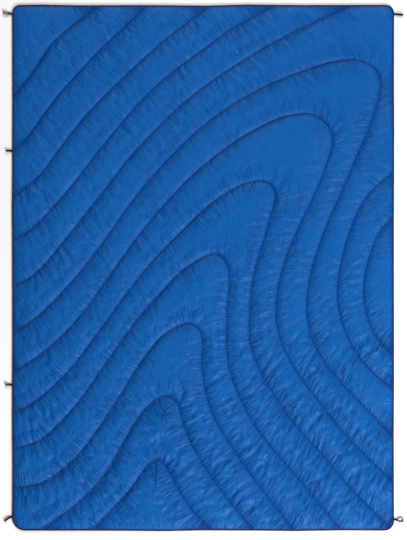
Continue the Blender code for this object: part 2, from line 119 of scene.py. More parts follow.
# The seams of the quilting, as the points that each is drawn through
SEAMS = (
    ((-0.695, 0.600), (-0.610, 0.715), (-0.545, 0.810), (-0.405, 0.925), (-0.360, 0.955)),
    ((-0.695, 0.410), (-0.635, 0.470), (-0.575, 0.555), (-0.530, 0.615), (-0.450, 0.705),
     (-0.375, 0.785), (-0.300, 0.855), (-0.195, 0.955)),
    ((-0.695, 0.245), (-0.585, 0.340), (-0.530, 0.415), (-0.415, 0.560), (-0.275, 0.700),
     (-0.165, 0.800), (-0.110, 0.845), (0.035, 0.955)),
    ((-0.695, 0.090), (-0.620, 0.140), (-0.550, 0.210), (-0.460, 0.315), (-0.355, 0.450),
     (-0.235, 0.590), (-0.155, 0.670), (0.010, 0.795), (0.100, 0.860), (0.280, 0.955)),
    ((-0.695, -0.075), (-0.610, -0.025), (-0.500, 0.100), (-0.365, 0.270), (-0.280, 0.380),
     (-0.180, 0.490), (-0.070, 0.595), (0.055, 0.690), (0.240, 0.805), (0.380, 0.875),
     (0.555, 0.955)),
    ((-0.695, -0.240), (-0.615, -0.190), (-0.470, -0.045), (-0.345, 0.115), (-0.275, 0.215),
     (-0.170, 0.345), (0.010, 0.520), (0.195, 0.640), (0.390, 0.720), (0.480, 0.745),
     (0.560, 0.750), (0.620, 0.720), (0.640, 0.665), (0.600, 0.505), (0.560, 0.415),
     (0.490, 0.250), (0.455, 0.175), (0.395, 0.005), (0.375, -0.110), (0.385, -0.230),
     (0.435, -0.335), (0.505, -0.420), (0.695, -0.620)),
    ((-0.695, -0.385), (-0.565, -0.295), (-0.440, -0.170), (-0.370, -0.075), (-0.230, 0.120),
     (-0.115, 0.255), (-0.020, 0.350), (0.155, 0.480), (0.315, 0.550), (0.405, 0.550),
     (0.465, 0.485), (0.435, 0.345), (0.340, 0.135), (0.295, 0.025), (0.265, -0.110),
     (0.270, -0.225), (0.320, -0.345), (0.435, -0.505), (0.520, -0.610), (0.695, -0.785)),
    ((-0.695, -0.535), (-0.590, -0.470), (-0.485, -0.370), (-0.395, -0.255), (-0.270, -0.085),
     (-0.190, 0.015), (-0.100, 0.110), (0.040, 0.240), (0.155, 0.305), (0.230, 0.310),
     (0.260, 0.270), (0.235, 0.160), (0.205, 0.055), (0.185, -0.015), (0.170, -0.130),
     (0.175, -0.295), (0.260, -0.465), (0.330, -0.565), (0.435, -0.680), (0.550, -0.815),
     (0.695, -0.955)),
    ((-0.695, -0.660), (-0.585, -0.620), (-0.500, -0.540), (-0.435, -0.465), (-0.355, -0.350),
     (-0.240, -0.190), (-0.175, -0.115), (-0.055, 0.005), (0.050, 0.050), (0.090, 0.000),
     (0.085, -0.165), (0.085, -0.290), (0.100, -0.385), (0.180, -0.560), (0.240, -0.640),
     (0.355, -0.775), (0.505, -0.955)),
    ((-0.695, -0.800), (-0.580, -0.775), (-0.470, -0.695), (-0.415, -0.630), (-0.315, -0.485),
     (-0.220, -0.335), (-0.140, -0.240), (-0.050, -0.200), (-0.010, -0.230), (-0.005, -0.365),
     (0.030, -0.520), (0.115, -0.665), (0.185, -0.765), (0.335, -0.955)),
    ((-0.605, -0.955), (-0.455, -0.850), (-0.355, -0.745), (-0.285, -0.625), (-0.205, -0.505),
     (-0.135, -0.460), (-0.095, -0.485), (-0.075, -0.555), (-0.030, -0.660), (0.065, -0.805),
     (0.190, -0.955)),
    ((-0.410, -0.955), (-0.280, -0.820), (-0.165, -0.690), (-0.085, -0.810), (-0.040, -0.875),
     (0.040, -0.955)),
    ((0.695, 0.355), (0.590, 0.255), (0.520, 0.100), (0.485, -0.095), (0.510, -0.220),
     (0.555, -0.310), (0.625, -0.390), (0.695, -0.445)),
    ((0.695, 0.195), (0.630, 0.115), (0.580, -0.080), (0.615, -0.230), (0.695, -0.330)),
)

# How far each edge wanders out from a straight line, at places along it
SIDE_WANDER = {
    ("x", -1): ((-0.95, 0.0), (-0.70, -0.0010), (-0.55, 0.0004), (-0.25, -0.0008), (0.05, 0.0),
                (0.22, 0.0012), (0.33, 0.0), (0.60, -0.0006), (0.95, 0.0)),
    ("x", 1): ((-0.95, 0.0), (-0.60, -0.0010), (-0.30, 0.0), (0.10, -0.0008), (0.45, 0.0006),
               (0.70, -0.0004), (0.95, 0.0)),
    ("y", -1): ((-0.69, 0.0), (-0.30, 0.0004), (-0.14, 0.0018), (0.0, -0.0008), (0.20, 0.0),
                (0.33, 0.0016), (0.50, -0.0010), (0.69, 0.0)),
    ("y", 1): ((-0.69, 0.0), (-0.58, 0.0008), (-0.45, -0.0014), (-0.20, -0.0008),
               (0.01, -0.0026), (0.16, 0.0012), (0.35, -0.0006), (0.69, 0.0)),
}
STEADY_SPOTS = (-0.9100, -0.4225, 0.4225, 0.9170)  # along the sides, where the loops are sewn in


def ease(value, start, end):
    """0 up to the start and 1 from the end on, with an easy slope between them."""
    t = np.clip((np.asarray(value, float) - start) / (end - start), 0.0, 1.0)
    return t * t * (3.0 - 2.0 * t)


# ---------------------------------------------------------------- outline and seams


def corner_arcs():
    """Each corner's arc centre, radius and first angle, anticlockwise from the head's right."""
    for turn, (corner, radius) in enumerate(CORNER_RADIUS.items()):
        x = (WIDTH / 2 - radius) * (1 if corner[1] == "right" else -1)
        y = (LENGTH / 2 - radius) * (1 if corner[0] == "head" else -1)
        yield x, y, radius, turn * math.pi / 2


def edge_stations(step):
    """Places along the outer edge about `step` apart: their points and outward directions."""
    points, outward = [], []
    for x, y, radius, start in corner_arcs():
        count = max(6, round(radius * math.pi / 2 / step))
        for i in range(count + 1):
            angle = start + i * math.pi / 2 / count
            way = (math.cos(angle), math.sin(angle))
            points.append((x + radius * way[0], y + radius * way[1]))
            outward.append(way)
    full_points, full_outward = [], []
    ends = list(zip(points, outward))
    for (a, way), (b, _) in zip(ends, ends[1:] + ends[:1]):
        count = max(1, round(math.dist(a, b) / step))
        for i in range(count):
            full_points.append((a[0] + (b[0] - a[0]) * i / count, a[1] + (b[1] - a[1]) * i / count))
            full_outward.append(way)
    return np.array(full_points), np.array(full_outward)


def from_edge(points):
    """How far each point lies inside the outer edge."""
    x, y = points[:, 0], points[:, 1]
    radius = np.where(
        y > 0,
        np.where(x > 0, CORNER_RADIUS[("head", "right")], CORNER_RADIUS[("head", "left")]),
        np.where(x > 0, CORNER_RADIUS[("foot", "right")], CORNER_RADIUS[("foot", "left")]),
    )
    in_x, in_y = WIDTH / 2 - np.abs(x), LENGTH / 2 - np.abs(y)
    corner = (in_x < radius) & (in_y < radius)
    round_in = radius - np.hypot(radius - in_x, radius - in_y)
    return np.where(corner, round_in, np.minimum(in_x, in_y))


def settle(points):
    """Moves points near an edge with its wander, which is nil at the loops."""
    moved = np.array(points, float)
    for axis, half, other in ((0, WIDTH / 2, 1), (1, LENGTH / 2, 0)):
        for side in (-1, 1):
            wander = np.array(SIDE_WANDER[("xy"[axis], side)])
            along = points[:, other]
            shift = np.interp(along, wander[:, 0], wander[:, 1])
            if axis == 0:
                for spot in STEADY_SPOTS:
                    shift = shift * ease(np.abs(along - spot), 0.015, 0.070)
            near = 1.0 - ease(half - side * points[:, axis], 0.006, 0.090)
            moved[:, axis] += side * shift * near
    return moved


def curve_through(points, parts=16):
    """A smooth curve through the points: a centripetal Catmull-Rom spline."""
    padded = [2 * points[0] - points[1], *points, 2 * points[-1] - points[-2]]
    curve = []
    for a, b, c, d in zip(padded, padded[1:], padded[2:], padded[3:]):
        t1 = math.sqrt((b - a).length)
        t2 = t1 + math.sqrt((c - b).length)
        t3 = t2 + math.sqrt((d - c).length)
        for k in range(parts):
            t = t1 + (t2 - t1) * k / parts
            ab = a.lerp(b, t / t1)
            bc = b.lerp(c, (t - t1) / (t2 - t1))
            cd = c.lerp(d, (t - t2) / (t3 - t2))
            abc = ab.lerp(bc, t / t2)
            bcd = bc.lerp(cd, (t - t1) / (t3 - t1))
            curve.append(abc.lerp(bcd, (t - t1) / (t2 - t1)))
    curve.append(points[-1])
    return np.array([(p.x, p.y) for p in curve])


def run_along(line):
    """How far along a line each of its points lies."""
    return np.r_[0.0, np.cumsum(np.hypot(*np.diff(line, axis=0).T))]


def evenly(curve, step):
    """Points along a curve at an even spacing of about `step`, both ends kept."""
    run = run_along(curve)
    marks = np.linspace(0.0, run[-1], max(2, round(run[-1] / step)) + 1)
    return np.c_[np.interp(marks, run, curve[:, 0]), np.interp(marks, run, curve[:, 1])]


def seam_curve(drawn, inset):
    """A seam as a fine curve, cut off where it goes under the binding."""
    curve = evenly(curve_through([Vector(p) for p in drawn]), 0.001)
    return curve[from_edge(curve) > inset]


def beside(curve, offset):
    """The curve moved sideways, to its left where the offset is positive."""
    way = np.gradient(curve, axis=0)
    way /= np.hypot(way[:, 0], way[:, 1])[:, None]
    return curve + offset * np.c_[-way[:, 1], way[:, 0]]


# ---------------------------------------------------------------- the sheets' plan


def tree_of(places):
    """A search tree over places seen from above."""
    tree = KDTree(len(places))
    for i, (x, y) in enumerate(places):
        tree.insert((x, y, 0.0), i)
    tree.balance()
    return tree


class SheetPlan:
    """A sheet seen from above: points in rows along its seams and edge and in a net between
    them, and the triangles that join them."""

    def __init__(self, along, offsets, net, insets):
        seams = [seam_curve(drawn, insets[2]) for drawn in SEAMS]
        tree = tree_of(np.vstack([evenly(seam, along / 2) for seam in seams]))

        def seam_distance(points):
            return np.array([tree.find((x, y, 0.0))[2] for x, y in points])

        outer, outward = edge_stations(along)
        parts, edges, kinds = [], [], []

        def add(points, kind):
            first = sum(len(p) for p in parts)
            parts.append(points)
            kinds.append(np.full(len(points), kind))
            return first

        for number, inset in enumerate(insets):
            ring = outer - outward * inset
            if number < 3:
                first = add(ring, 1)
                edges += [(first + i, first + (i + 1) % len(ring)) for i in range(len(ring))]
            else:
                add(ring[seam_distance(ring) > along * 0.7], 0)
        for seam in seams:
            line = evenly(seam, along)
            first = add(line[1:-1], 2)
            edges += [(first + i, first + i + 1) for i in range(len(line) - 3)]
        for offset in offsets:
            for seam in seams:
                for side in (-1, 1):
                    row = beside(evenly(seam, along), side * offset)
                    clear = seam_distance(row) > 0.93 * offset
                    clear &= from_edge(row) > insets[-1] + along * 0.6
                    add(row[clear], 0)
        rows = np.arange(-LENGTH / 2, LENGTH / 2, net * math.sqrt(3) / 2)
        mesh = []
        for i, y in enumerate(rows):
            x = np.arange(-WIDTH / 2 + (i % 2) * net / 2, WIDTH / 2, net)
            mesh.append(np.c_[x, np.full(len(x), y)])
        mesh = np.vstack(mesh)
        mesh = mesh[from_edge(mesh) > insets[-1] + net * 0.7]
        mesh = mesh[seam_distance(mesh) > offsets[-1] + net * 0.6]
        add(mesh, 0)

        points = np.vstack(parts)
        kinds = np.concatenate(kinds)
        flat, _, faces, origins, _, _ = delaunay_2d_cdt(
            [Vector(p) for p in points], edges, [], 0, 1e-6, True
        )
        self.points = np.array([(p.x, p.y) for p in flat])
        self.kinds = np.array([max((kinds[i] for i in found), default=0) for found in origins])
        self.faces = np.array([f for f in faces if len(f) == 3])
        a, b, c = (self.points[self.faces[:, k]] for k in range(3))
        turn = (b[:, 0] - a[:, 0]) * (c[:, 1] - a[:, 1]) - (b[:, 1] - a[:, 1]) * (c[:, 0] - a[:, 0])
        back = turn < 0
        self.faces[back] = self.faces[back][:, ::-1]

    def swell(self):
        """The shape of a skin blown up over the plan and held down at its seams and edge: at
        the middle of a long channel it comes to the square of half the channel's width."""
        points, faces = self.points, self.faces
        count = len(points)
        ends, pulls = [], []
        area = np.zeros(count)
        for k in range(3):
            i, j, top = faces[:, k], faces[:, (k + 1) % 3], faces[:, (k + 2) % 3]
            u, v = points[i] - points[top], points[j] - points[top]
            cross = np.abs(u[:, 0] * v[:, 1] - u[:, 1] * v[:, 0]) + 1e-12
            ends.append(np.c_[i, j])
            pulls.append(np.clip((u * v).sum(1) / cross, 0.0, 20.0) / 2)
            area += np.bincount(i, cross / 6, count)
        first, last = np.vstack(ends).T
        pull = np.concatenate(pulls)
        free = (self.kinds == 0).astype(float)

        def tension(heights):
            flow = pull * (heights[first] - heights[last])
            return (np.bincount(first, flow, count) - np.bincount(last, flow, count)) * free

        stiff = np.bincount(first, pull, count) + np.bincount(last, pull, count)
        stiff = np.maximum(stiff, 1e-9)
        heights = np.zeros(count)
        pressure = 2.0 * area * free
        eased = pressure / stiff
        way = eased.copy()
        left = pressure @ eased
        for _ in range(SWELL_ROUNDS):
            pulled = tension(way)
            step = left / (way @ pulled)
            heights += step * way
            pressure -= step * pulled
            eased = pressure / stiff
            now = pressure @ eased
            way = eased + (now / left) * way
            left = now
            if left < 1e-18:
                break
        return np.maximum(heights, 0.0)


def along_seam(points, seam, reach):
    """For the points within reach of a seam: which they are, how far along it and off it they
    lie, and on which side."""
    low, high = seam.min(0) - reach, seam.max(0) + reach
    near = np.flatnonzero(((points > low) & (points < high)).all(1))
    line = evenly(seam, 0.006)
    run = run_along(line)
    best = np.full(len(near), 1e9)
    mark = np.zeros(len(near))
    side = np.ones(len(near))
    chosen = points[near]
    for k in range(len(line) - 1):
        a, way = line[k], line[k + 1] - line[k]
        length = math.hypot(*way)
        gap = chosen - a
        share = np.clip((gap @ way) / length**2, 0.0, 1.0)
        off = gap - share[:, None] * way
        away = np.hypot(off[:, 0], off[:, 1])
        closer = away < best
        best[closer] = away[closer]
        mark[closer] = (run[k] + share * length)[closer]
        side[closer] = np.sign(way[0] * gap[:, 1] - way[1] * gap[:, 0])[closer]
    kept = best < reach
    return near[kept], mark[kept], best[kept], side[kept]


# ---------------------------------------------------------------- puckers and folds

# Calm places, as a centre and a reach, where the cloth lies taut
CALM = ((0.33, 0.44, 0.11), (-0.12, -0.29, 0.08), (0.66, -0.06, 0.12), (0.56, 0.66, 0.07),
        (0.16, 0.22, 0.06), (0.02, 0.0, 0.04), (0.45, 0.08, 0.10), (0.36, -0.14, 0.07),
        (0.62, -0.46, 0.07), (-0.02, 0.42, 0.06), (-0.48, 0.30, 0.05))

# Single long folds, from one end to the other, with their width and depth
FOLDS = (
    ((-0.037, 0.743), (0.068, 0.746), 0.0060, 0.0022),
    ((-0.535, 0.652), (-0.361, 0.655), 0.0065, 0.0022),
    ((-0.318, 0.605), (-0.066, 0.580), 0.0070, 0.0026),
    ((-0.264, 0.522), (-0.174, 0.520), 0.0060, 0.0020),
    ((-0.307, 0.490), (-0.239, 0.486), 0.0060, 0.0018),
    ((-0.235, -0.752), (-0.120, -0.768), 0.0080, 0.0040),
    ((-0.110, -0.745), (0.003, -0.757), 0.0080, 0.0036),
    ((-0.318, -0.893), (-0.236, -0.930), 0.0080, 0.0040),
    ((-0.200, -0.858), (-0.075, -0.840), 0.0070, 0.0030),
    ((-0.255, -0.815), (-0.150, -0.822), 0.0070, 0.0030),
    ((0.476, 0.425), (0.530, 0.330), 0.0060, 0.0014),
    ((0.500, 0.330), (0.545, 0.244), 0.0060, 0.0014),
    ((0.550, -0.740), (0.640, -0.700), 0.0080, 0.0036),
    ((0.560, -0.800), (0.600, -0.720), 0.0070, 0.0030),
)
FOLD_DEPTH = 0.7  # of the depths above

# Puckers: how far from its seam the cloth is gathered, and the puckers' spacing along it
SEAM_REACH = 0.090
PUCKER_PITCH = 0.0105
PUCKER_DEPTH = 0.0040
PUCKER_WIDTH = (0.0034, 0.0064)
PUCKER_REACH = (0.024, 0.074)
LONG_SHARE = 0.44
LONG_EXTRA = (0.012, 0.044)
PUCKER_SLANT = 0.26
PUCKER_BEND = 3.5
RIGHT_TILT = 0.42  # how far the puckers lean off square on the right side

# Crumples all over: spacing, stretch, direction and seed, a net's narrowness, and the depth
SOFT_CRUMPLES = ((0.020, 1.7, 0.9, 7.0, 0.0006), (0.045, 1.5, 0.3, 9.0, 0.0018))
CREASE_NETS = ((0.050, 1.8, 2.1, 13.0, 0.110, 0.0012), (0.040, 2.2, 0.5, 17.0, 0.120, 0.0010))


def pucker_strength(points):
    """How strongly the cloth puckers at each place, from 0 to about 1."""
    x, y = points[:, 0], points[:, 1]
    strength = 0.74 + 0.26 * ease(-y + 0.30 * x, -0.10, 0.50)
    strength *= 0.55 + 0.45 * ease(ripples(points, 0.085, 1.3, 0.8, 21.0), -0.28, 0.22)
    for cx, cy, reach in CALM:
        strength *= 1.0 - 0.85 * np.exp(-((x - cx) ** 2 + (y - cy) ** 2) / reach**2)
    return strength


class Gathering:
    """Where points lie along and off the seams that gather the cloth around them."""

    def __init__(self, points):
        self.points = points
        self.strength = pucker_strength(points)
        self.tilt = RIGHT_TILT * ease(points[:, 0], 0.05, 0.35)
        seams = [seam_curve(drawn, 0.003) for drawn in SEAMS]
        self.lengths = [np.hypot(*np.diff(seam, axis=0).T).sum() for seam in seams]
        self.near = [along_seam(points, seam, SEAM_REACH) for seam in seams]

    def puckers(self):
        """The heights of the puckers on both sides of each seam."""
        heights = np.zeros(len(self.points))
        shuffle = np.random.default_rng(11)
        for length, (which, mark, away, side) in zip(self.lengths, self.near):
            total = np.zeros(len(which))
            for sign in (-1, 1):
                mine = side == sign
                count = int(length / PUCKER_PITCH)
                places = (np.arange(count) + shuffle.uniform(-0.45, 0.45, count)) * PUCKER_PITCH
                places.sort()
                depth = shuffle.uniform(0.20, 1.0, count) ** 1.4 * PUCKER_DEPTH
                width = shuffle.uniform(*PUCKER_WIDTH, count)
                reach = shuffle.uniform(*PUCKER_REACH, count)
                longer = shuffle.random(count) < LONG_SHARE
                reach[longer] += shuffle.uniform(*LONG_EXTRA, longer.sum())
                depth[longer] *= 1.3
                slant = shuffle.normal(0.0, PUCKER_SLANT, count)
                bend = shuffle.normal(0.0, PUCKER_BEND, count)
                off = away[mine]
                along = mark[mine] + self.tilt[which[mine]] * sign * off
                first = np.searchsorted(places, along)
                local = np.zeros(mine.sum())
                for step in range(-5, 5):
                    k = first + step
                    good = (k >= 0) & (k < count)
                    k = np.clip(k, 0, count - 1)
                    middle = places[k] + slant[k] * off + bend[k] * off * off
                    u = np.abs(along - middle) / (width[k] * (1.0 + off / 0.060))
                    fall = ease(off, 0.0, 0.005)
                    fall = fall * (1.0 - ease(off, reach[k] * 0.40, reach[k] * 1.4))
                    valley = np.exp(-u**1.6) - 0.35 * np.exp(-((u - 1.9) ** 2))
                    local += np.where(good, -depth[k] * valley * fall, 0.0)
                total[mine] = local
            np.add.at(heights, which, total)
        return heights * self.strength

    def grain(self):
        """For each point, how far it lies along and off its nearest seam and that seam's number,
        and how strongly fine creases run across there: not at all half way between two seams."""
        count = len(self.points)
        first, second = np.full(count, SEAM_REACH), np.full(count, SEAM_REACH)
        place = np.zeros((count, 3))
        for number, (which, mark, away, side) in enumerate(self.near):
            closer = away < first[which]
            second[which] = np.where(closer, first[which], np.minimum(second[which], away))
            mine = which[closer]
            first[mine] = away[closer]
            off = (away * side)[closer]
            along = mark[closer] + self.tilt[mine] * off
            place[mine] = np.c_[along, off, np.full(len(mine), 0.37 * number)]
        share = ease(second - first, 0.012, 0.030) * (1.0 - 0.65 * ease(first, 0.040, 0.085))
        return place, share * ease(first, 0.0, 0.004) * self.strength


def long_folds(points):
    """The single folds, each a soft valley between two low ridges."""
    heights = np.zeros(len(points))
    for a, b, width, depth in FOLDS:
        a, b = np.array(a), np.array(b)
        way = b - a
        length = math.hypot(*way)
        gap = points - a
        t = gap @ way / length**2
        off = (way[0] * gap[:, 1] - way[1] * gap[:, 0]) / length
        off = off + 0.004 * np.sin(t * 5.0 + a[0] * 40)
        u = off / width
        profile = -np.exp(-u * u) + 0.55 * np.exp(-((u - 1.8) ** 2))
        profile += 0.4 * np.exp(-((u + 1.8) ** 2))
        heights += depth * profile * ease(t, -0.06, 0.22) * (1.0 - ease(t, 0.78, 1.06))
    return heights


def ripples(points, size, stretch, turn, seed):
    """Soft noise, drawn out along one direction."""
    c, s = math.cos(turn), math.sin(turn)
    x = (points[:, 0] * c + points[:, 1] * s) / (size * stretch)
    y = (-points[:, 0] * s + points[:, 1] * c) / size
    return np.array([noise.noise(Vector((a, b, seed))) for a, b in zip(x, y)])


def crease_net(points, size, stretch, turn, seed, narrow):
    """A net of narrow valleys that wander over the cloth, 1 deep along their middles."""
    return ease(np.abs(ripples(points, size, stretch, turn, seed)), 0.0, narrow) - 1.0


# ---------------------------------------------------------------- meshes


def add_piece(name, points, faces, smooth=True):
    """A new piece from points and faces."""
    mesh = bpy.data.meshes.new(name)
    points = np.asarray(points, np.float32)
    faces = np.asarray(faces, np.int32)
    corners = faces.shape[1]
    mesh.vertices.add(len(points))
    mesh.vertices.foreach_set("co", points.ravel())
    mesh.loops.add(faces.size)
    mesh.loops.foreach_set("vertex_index", faces.ravel())
    mesh.polygons.add(len(faces))
    mesh.polygons.foreach_set("loop_start", np.arange(0, faces.size, corners, dtype=np.int32))
    mesh.update(calc_edges=True)
    mesh.validate()
    mesh.polygons.foreach_set("use_smooth", np.full(len(faces), smooth))
    piece = bpy.data.objects.new(name, mesh)
    bpy.context.scene.collection.objects.link(piece)
    return piece


def put_back(shape, piece):
    """Puts a closed shape back into its piece, smooth and with its faces outward."""
    bmesh.ops.recalc_face_normals(shape, faces=shape.faces)
    for face in shape.faces:
        face.smooth = True
    shape.to_mesh(piece.data)
    shape.free()


def select_only(*pieces):
    """Selects these pieces and nothing else, with the first of them active."""
    bpy.ops.object.select_all(action="DESELECT")
    for piece in pieces:
        piece.select_set(True)
    if pieces:
        bpy.context.view_layer.objects.active = pieces[0]


def add_uv(piece, uv):
    """A UV map from a place for every corner of every face, in metres on the flat cloth."""
    layer = piece.data.uv_layers.new(name="flat")
    layer.data.foreach_set("uv", np.asarray(uv, np.float32).ravel())


def add_shade(piece, name, values):
    """A number or a vector for every point of a piece, which its material reads."""
    values = np.asarray(values, np.float32)
    if values.ndim == 1:
        attribute = piece.data.attributes.new(name, "FLOAT", "POINT")
        attribute.data.foreach_set("value", values)
    else:
        attribute = piece.data.attributes.new(name, "FLOAT_VECTOR", "POINT")
        attribute.data.foreach_set("vector", values.ravel())


def base_heights(points, seam, edge):
    """The height where the layers are held: at the edge and at the seams inside it."""
    return edge + (seam - edge) * ease(from_edge(points), 0.005, 0.035)


class Layer:
    """One level of the quilt: its plan, and how far it swells between the seams."""

    def __init__(self, along, offsets, net, insets):
        self.plan = SheetPlan(along, offsets, net, insets)
        self.points = self.plan.points
        self.spread = np.sqrt(self.plan.swell()) / HALF_CHANNEL

    def face_heights(self):
        """The face shell: crowned channels with their puckers, folds and crumples."""
        t = self.spread
        rise = CHANNEL_RISE * np.tanh(0.9 * t * t)
        rise *= 1.0 + 0.12 * ripples(self.points, 0.16, 1.0, 0.4, 3.0)
        gathering = Gathering(self.points)
        free = ease(t, 0.1, 0.5)
        fold = gathering.puckers() * ease(t, 0.02, 0.35)
        fold += long_folds(self.points) * FOLD_DEPTH * free
        crumple = np.zeros(len(t))
        for *pattern, depth in SOFT_CRUMPLES:
            crumple += ripples(self.points, *pattern) * depth
        for *pattern, depth in CREASE_NETS:
            crumple += crease_net(self.points, *pattern) * depth
        fold += crumple * free * (0.40 + 0.9 * gathering.strength)
        low = -DEEPEST_FOLD * rise
        deep = fold < low * 0.5
        fold = np.where(deep, low - (low * 0.5) ** 2 / np.minimum(fold, -1e-9), fold)
        self.grain, self.creased = gathering.grain()
        return base_heights(self.points, SEAM_FACE, EDGE_FACE) + rise + fold

    def back_heights(self):
        """The back shell: resting on the floor, lifted at its seams and edge."""
        held = base_heights(self.points, SEAM_BACK, EDGE_BACK)
        wrinkle = np.clip(-Gathering(self.points).puckers(), 0.0, 0.004) * 0.22
        sink = np.exp(-((self.spread / 0.36) ** 2))
        return LOWEST + (held - LOWEST) * sink + wrinkle * (1.0 - sink)


def sew_quilt():
    """The face shell, the back shell and the filling between them."""
    face = Layer(*FACE_SPACING)
    face_z = face.face_heights()
    spots = np.c_[settle(face.points), face_z]
    shell = add_piece("quilt_face", spots, face.plan.faces)
    add_shade(shell, "swell", face.spread)
    add_shade(shell, "creased", face.creased)
    add_shade(shell, "grain", face.grain)
    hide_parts("face_shell")

    back = Layer(*BACK_SPACING)
    back_z = back.back_heights()
    spots = np.c_[settle(back.points), back_z]
    under = add_piece("quilt_back", spots, back.plan.faces[:, ::-1])
    add_shade(under, "swell", back.spread)
    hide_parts("back_shell")

    fill = Layer(*FILLING_SPACING)
    tops = heights_near(face.points, face_z, fill.points, 0.0095, np.min) - FILLING_BELOW_FACE
    bottoms = heights_near(back.points, back_z, fill.points, 0.0130, np.max) + FILLING_ABOVE_BACK
    tops = np.maximum(tops, bottoms + THINNEST_FILLING)
    count = len(fill.points)
    flat = settle(fill.points)
    faces = np.vstack([fill.plan.faces, fill.plan.faces[:, ::-1] + count])
    batt = close_sides("filling", np.r_[np.c_[flat, tops], np.c_[flat, bottoms]], faces)
    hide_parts("insulation_batt")
    return shell, under, batt


def heights_near(points, heights, places, reach, choose):
    """The lowest or highest of the heights within reach of each place."""
    tree = tree_of(points)
    out = []
    for x, y in places:
        found = [i for _, i, _ in tree.find_range((x, y, 0.0), reach)]
        if not found:
            found = [tree.find((x, y, 0.0))[1]]
        out.append(choose(heights[found]))
    return np.array(out)


def close_sides(name, points, faces):
    """A solid piece from a top and a bottom sheet, with its open edges joined by a wall."""
    piece = add_piece(name, points, faces)
    shape = bmesh.new()
    shape.from_mesh(piece.data)
    open_edges = [e for e in shape.edges if e.is_boundary]
    half = len(points) // 2
    shape.verts.ensure_lookup_table()
    for edge in open_edges:
        start = edge.link_loops[0].vert
        a, b = start.index, edge.other_vert(start).index
        if a < half and b < half:
            shape.faces.new([shape.verts[i] for i in (b, a, a + half, b + half)])
    put_back(shape, piece)
    return piece


# ---------------------------------------------------------------- stitching


def one_stitch():
    """A single stitch, lying along X: a grain of thread whose ends dip into the cloth."""
    select_only()
    bpy.ops.mesh.primitive_uv_sphere_add(
        segments=6, ring_count=5, radius=0.5, rotation=(0.0, math.pi / 2, 0.0)
    )
    stitch = bpy.context.object
    bpy.ops.object.transform_apply(location=False, rotation=True, scale=False)
    stitch.scale = (STITCH_LENGTH, 2 * STITCH_RADIUS, 2 * STITCH_RADIUS)
    bpy.ops.object.transform_apply(location=False, rotation=False, scale=True)
    bpy.ops.object.mode_set(mode="EDIT")
    bpy.ops.mesh.select_mode(type="VERT")
    bpy.ops.mesh.select_all(action="DESELECT")
    bpy.ops.object.mode_set(mode="OBJECT")
    for v in stitch.data.vertices:
        v.select = abs(v.co.x) > STITCH_LENGTH * 0.45
    bpy.ops.object.mode_set(mode="EDIT")
    bpy.ops.transform.translate(value=(0.0, 0.0, -STITCH_RADIUS * 0.9))
    bpy.ops.mesh.select_all(action="SELECT")
    bpy.ops.mesh.normals_make_consistent(inside=False)
    bpy.ops.mesh.quads_convert_to_tris()
    bpy.ops.object.mode_set(mode="OBJECT")
    points = np.array([v.co for v in stitch.data.vertices])
    faces = np.array([list(p.vertices) for p in stitch.data.polygons])
    bpy.data.objects.remove(stitch, do_unlink=True)
    return points, faces


def run_of_stitches(name, stitch, line, heights, pitch, up, seed):
    """A line of stitches along a curve, on top of the cloth where up is 1 and under it at -1."""
    shape, faces = stitch
    run = run_along(line)
    count = int(run[-1] / pitch)
    marks = (np.arange(count) + 0.5) * run[-1] / count
    x, y, z = (np.interp(marks, run, v) for v in (line[:, 0], line[:, 1], heights))
    ahead = np.interp(marks + 0.0008, run, line[:, 0]) - np.interp(marks - 0.0008, run, line[:, 0])
    aside = np.interp(marks + 0.0008, run, line[:, 1]) - np.interp(marks - 0.0008, run, line[:, 1])
    shuffle = np.random.default_rng(seed)
    turn = np.arctan2(aside, ahead) + shuffle.normal(0.0, 0.035, count)
    long = shuffle.normal(1.0, 0.03, count) * pitch / STITCH_PITCH
    c, s = np.cos(turn)[:, None], np.sin(turn)[:, None]
    px, py = shape[:, 0][None, :] * long[:, None], shape[:, 1][None, :] * up
    spots = np.empty((count, len(shape), 3))
    spots[..., 0] = x[:, None] + c * px - s * py
    spots[..., 1] = y[:, None] + s * px + c * py
    lift = shuffle.normal(0.0, 0.00003, count)
    spots[..., 2] = (z + lift)[:, None] + up * shape[:, 2][None, :]
    every = faces[None] + (np.arange(count) * len(shape))[:, None, None]
    return add_piece(name, spots.reshape(-1, 3), every.reshape(-1, 3))


def sew_seams():
    """The stitches of every seam and of the binding, on the face and under the back."""
    stitch = one_stitch()
    made = []
    for number, drawn in enumerate(SEAMS, 1):
        line = seam_curve(drawn, SEAM_STOP)
        top = base_heights(line, SEAM_FACE, EDGE_FACE) + STITCH_LIFT
        low = base_heights(line, SEAM_BACK, EDGE_BACK) - STITCH_LIFT
        flat = settle(line)
        for kind, heights, up in (("quilt_thread", top, 1), ("quilt_bobbin_thread", low, -1)):
            name = f"{kind}_{number:02d}"
            piece = run_of_stitches(
                f"stitches_{number:02d}_{'face' if up > 0 else 'back'}", stitch, flat, heights,
                STITCH_PITCH, up, 100 + number,
            )
            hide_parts(name)
            made.append(piece)
    outer, outward = edge_stations(0.002)
    line = settle(outer - outward * BINDING_SEAM)
    line = np.vstack([line, line[:1]])
    for name, height, up in (
        ("binding_thread", BINDING_HIGH - BINDING_STITCH_SINK, 1),
        ("binding_bobbin_thread", BINDING_LOW + BINDING_STITCH_SINK, -1),
    ):
        piece = run_of_stitches(
            f"binding_stitches_{'face' if up > 0 else 'back'}", stitch, line,
            np.full(len(line), height), BINDING_PITCH, up, 300,
        )
        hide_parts(name)
        made.append(piece)
    return made


# ---------------------------------------------------------------- binding


